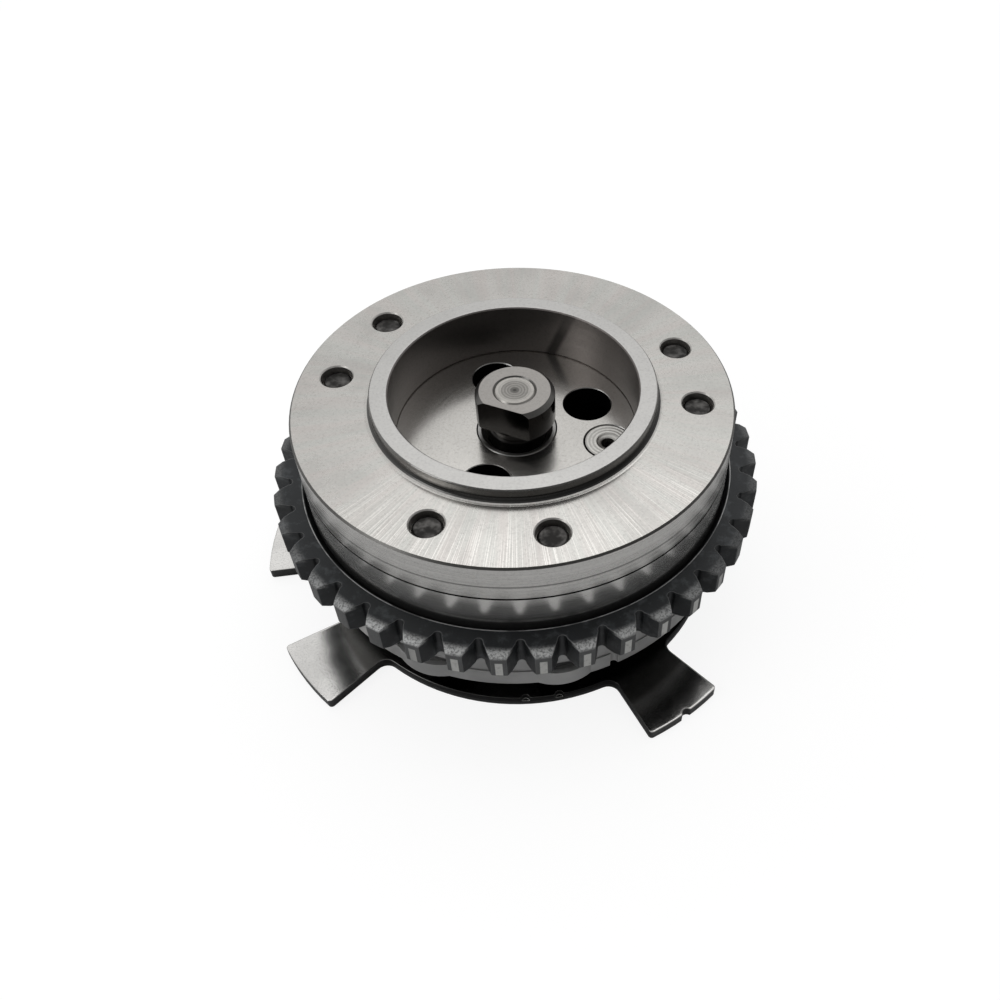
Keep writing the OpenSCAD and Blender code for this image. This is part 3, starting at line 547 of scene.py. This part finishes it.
def paint(name, base, *zones):
    """Gives a node its finish. A zone is a finish and a test of a face: its centre and the centre's
    radius, in millimetres, and its normal. The first zone that takes a face has it."""
    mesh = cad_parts[name].data
    mesh.materials.clear()
    for finish in (base, *(zone_finish for zone_finish, _ in zones)):
        mesh.materials.append(finish.material)
    for face in mesh.polygons:
        centre = face.center / MM
        hits = (i for i, (_, test) in enumerate(zones, 1) if test(centre, centre.xy.length, face.normal))
        face.material_index = next(hits, 0)


def on_drum_chamfer(c, r, n):
    return r > DRUM_CHAMFER_R and SLOPED < abs(n.z) < LEVEL


def in_bolt_pocket(c, r, n):
    return r < SCREW_RING[0] and BOLT_POCKET_Z[0] < c.z < BOLT_POCKET_Z[1]


def on_plug_edge(c, r, n):
    return SLOPED < n.z < LEVEL and (c.xy - PLUG_AT).length > PLUG_FACE_R


def finish_cover(painted_shade, dark):
    """Front cover: flange, its holes and rim, and the raised collar with its lip, bore and foot."""
    rim = turned_rim((0.64, 0.63, 0.612))
    flange = faced_flange((0.51, 0.497, 0.474))
    lip = turned_steel("faced_lip", (0.53, 0.523, 0.508), roughness=0.34, anisotropy=0.3, marks=0.04,
                       round_mm=LIP_ROUND)
    mouth = turned_steel("hole_mouth", (0.58, 0.565, 0.54), roughness=0.42)
    foot = collar_foot((0.36, 0.353, 0.34))
    # Painted shade: the collar's side is a darker copy of the steel of its lip
    collar = turned_steel("collar_side", (0.24, 0.234, 0.225), roughness=0.18, anisotropy=0.3, marks=0.05,
                          blotches=0.1, round_mm=LIP_ROUND)
    bore = bored_wall((0.19, 0.175, 0.168))
    paint("cover_plate", rim,
          # Painted shade: black on the drum's lower chamfer
          (painted_shade, lambda c, r, n: on_drum_chamfer(c, r, n) and c.z < COVER_LOWER_EDGE_Z),
          (dark, on_drum_chamfer),
          (lip, lambda c, r, n: n.z > LEVEL and c.z > LIP_Z),
          (flange, lambda c, r, n: n.z > LEVEL),
          (mouth, lambda c, r, n: SCREW_RING[0] < r < SCREW_RING[1]),
          (foot, lambda c, r, n: COLLAR_R < r < SCREW_RING[0] and c.z < COLLAR_FOOT_TOP),
          (collar, lambda c, r, n: COLLAR_SIDE_R < r < SCREW_RING[0]),
          (bore, lambda c, r, n: r < COLLAR_R))


def finish_nodes():
    """Gives every CAD node its finish."""
    satin = turned_steel("satin_steel", (0.36, 0.355, 0.345), roughness=0.30)
    drum = ground_drum((0.74, 0.73, 0.71))
    floor = turned_steel("faced_floor", (0.57, 0.555, 0.528), roughness=0.21, marks=0.03)
    cap = turned_steel("pale_steel", (0.50, 0.49, 0.465), roughness=0.36, lines=7.0, marks=0.12)
    head = turned_steel("plunger_face", (0.34, 0.325, 0.308), roughness=0.40, lines=7.0, marks=0.14)
    disc = riveted_end((0.42, 0.405, 0.38))
    plug = plug_face((0.50, 0.49, 0.465))
    spring = turned_steel("spring_steel", (0.30, 0.30, 0.30), roughness=0.32)
    black = turned_steel("black_steel", (0.055, 0.053, 0.051), roughness=0.18)
    dark = turned_steel("dark_chamfer", (0.16, 0.157, 0.15), roughness=0.30)
    # Painted shade: near-black for the chamfers at the drum's joint, the bolt pockets and the ring round the
    # plug
    painted_shade = turned_steel("painted_shade_black", (0.015, 0.014, 0.014), roughness=0.55)
    teeth = chain_ring(colour=(0.016, 0.018, 0.020), smudge=(0.070, 0.077, 0.082), pale=(0.55, 0.555, 0.55))
    plate = sintered("grey_sinter", (0.40, 0.40, 0.397), pale=(0.54, 0.54, 0.535), roughness=0.45)
    seal = sintered("seal_black", (0.02, 0.02, 0.02), pale=(0.05, 0.05, 0.05), roughness=0.6, metallic=0.0)
    sheet = rolled_sheet("tone_sheet", (0.74, 0.73, 0.71), roughness=0.14)
    # Edges of the tone wheel, near black: sheared, oxidised steel, and painted shade
    sheared_and_shaded = rolled_sheet("tone_edge", (0.07, 0.07, 0.07), roughness=0.36)
    screw = screw_end(colour=(0.018, 0.017, 0.016), dust=(0.13, 0.125, 0.12))

    finish_cover(painted_shade, dark)
    # Painted shade: black on the stator's chamfer
    paint("stator", satin, (painted_shade, on_drum_chamfer), (drum, lambda c, r, n: r > DRUM_SIDE_R))
    paint("rotor", satin,
          (floor, lambda c, r, n: n.z > LEVEL and c.z > ROTOR_FACE_Z),
          # Painted shade: black in the bolt pockets
          (painted_shade, in_bolt_pocket))
    paint("plunger_head", black,
          (head, lambda c, r, n: n.z > LEVEL),
          (dark, lambda c, r, n: n.z > LEANING))
    paint("plunger_stem", black, (disc, lambda c, r, n: n.z > LEANING and c.z > RIVETED_END_Z))
    # The tone wheel's edges take the near-black finish, partly painted shade
    paint("tone_wheel", sheared_and_shaded, (sheet, lambda c, r, n: abs(n.z) > LEVEL))
    paint("sprocket_ring", teeth, (plate, lambda c, r, n: c.z < SKIRT_Z))
    # Painted shade: black round the plug's face
    paint("inlet_plug", plug, (painted_shade, on_plug_edge))
    paint("rear_plate", plate)
    paint("clamp_screws", screw)
    paint("guide_sleeve", satin)
    paint("lock_cap", cap)
    for name in ("vane_seals", "lobe_seals"):
        paint(name, seal)
    for name in ("dowel_pin", "vane_seal_springs", "lobe_seal_springs", "lock_pin", "lock_spring",
                 "lock_seat", "stop_ring", "plunger_spring", "return_spring", "spring_post", "tone_rivets"):
        paint(name, spring)


def stand_in(name, new_name):
    """Copy of a spring's node, in the node's place, that is free to follow a joint."""
    spring = bpy.data.objects.new(new_name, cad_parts[name].data.copy())
    bpy.context.scene.collection.objects.link(spring)
    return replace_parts(spring, name)


def move_springs():
    """Puts stand-ins in the springs' places: the coils go with the rotor's body, and the spiral stays
    fixed where it is."""
    for name, new_name, joint, fixed_end_mm in COILS:
        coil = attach(stand_in(name, new_name), "rotor")
        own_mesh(coil)
    strip = stand_in("return_spring", "return_strip")
    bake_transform(strip)


def make_floor():
    """Pale floor: paper to the part's reflections, white with a soft shadow to the camera, and clear from
    below."""
    mesh = bpy.data.meshes.new("floor")
    corners = [(x * FLOOR_HALF, y * FLOOR_HALF, 0) for x, y in ((-1, -1), (1, -1), (1, 1), (-1, 1))]
    mesh.from_pydata(corners, [], [(0, 1, 2, 3)])
    floor = bpy.data.objects.new("floor", mesh)
    floor.location.z = -FLOOR_DROP
    bpy.context.scene.collection.objects.link(floor)
    material = bpy.data.materials.new("floor_white")
    material.use_nodes = True
    material.node_tree.nodes.clear()
    nodes = Nodes(material.node_tree)

    def shader(kind, inputs=None):
        return nodes.add(kind, inputs).outputs[0]

    paper = shader("ShaderNodeBsdfDiffuse", {"Color": FLOOR_PAPER})
    shadow = shader("ShaderNodeBsdfDiffuse", {"Color": FLOOR_SHADOW})
    glow = shader("ShaderNodeEmission", {"Strength": FLOOR_GLOW})
    seen = shader("ShaderNodeAddShader", {0: shadow, 1: glow})
    to_camera = nodes.add("ShaderNodeLightPath").outputs["Is Camera Ray"]
    above = shader("ShaderNodeMixShader", {0: to_camera, 1: paper, 2: seen})
    from_below = nodes.add("ShaderNodeNewGeometry").outputs["Backfacing"]
    clear = shader("ShaderNodeBsdfTransparent")
    both = shader("ShaderNodeMixShader", {0: from_below, 1: above, 2: clear})
    nodes.add("ShaderNodeOutputMaterial", {"Surface": both})
    mesh.materials.append(material)


def make_world():
    """White to the camera; to all else a room, bright above and behind and dim on the camera's side."""
    world = bpy.data.worlds.new("studio")
    world.use_nodes = True
    bpy.context.scene.world = world
    nodes = Nodes(world.node_tree)
    towards = nodes.add("ShaderNodeTexCoord").outputs["Generated"]
    lean = nodes.add("ShaderNodeVectorMath", {0: towards, 1: ROOM_BRIGHT_SIDE}, operation="DOT_PRODUCT")
    room = nodes.span(lean.outputs["Value"], *ROOM_LEAN, *ROOM_TONE, curve="LINEAR")
    to_camera = nodes.add("ShaderNodeLightPath").outputs["Is Camera Ray"]
    nodes.feed(nodes.mix(to_camera, room, WHITE), world.node_tree.nodes["Background"].inputs["Color"])


def make_lamps():
    """Softboxes that face the part, out of the camera's sight."""
    for name, at, size, power in LAMPS:
        data = bpy.data.lights.new(name, "AREA")
        data.shape = "RECTANGLE"
        data.size, data.size_y = size
        data.energy = power
        lamp = bpy.data.objects.new(name, data)
        lamp.location = at
        lamp.rotation_euler = (LAMP_AIM - Vector(at)).to_track_quat("-Z", "Y").to_euler()
        lamp.visible_camera = False
        bpy.context.scene.collection.objects.link(lamp)


def make_camera():
    """Pinhole camera that takes the photograph's view."""
    tilt, roll = math.radians(CAMERA_ELEVATION), math.radians(CAMERA_ROLL)
    back = Vector((0, -math.cos(tilt), math.sin(tilt)))
    level = Vector((1, 0, 0))
    upright = back.cross(level)
    right = math.cos(roll) * level + math.sin(roll) * upright
    up = math.cos(roll) * upright - math.sin(roll) * level
    turn = Matrix((right, up, back)).transposed().to_4x4()
    data = bpy.data.cameras.new("camera")
    data.sensor_width = SENSOR_MM
    data.lens = SENSOR_MM * FOCAL_PX / FRAME_PX
    data.shift_x = (FRAME_PX / 2 - CENTRE_PX[0]) / FRAME_PX
    data.shift_y = (CENTRE_PX[1] - FRAME_PX / 2) / FRAME_PX
    data.clip_start = NEAREST
    camera = bpy.data.objects.new("camera", data)
    camera.matrix_world = Matrix.Translation(Vector(CAMERA_AT) * MM) @ turn
    bpy.context.scene.collection.objects.link(camera)
    bpy.context.scene.camera = camera


finish_nodes()
move_springs()
make_floor()
make_world()
make_lamps()
make_camera()
bpy.context.scene.view_settings.view_transform = "Standard"
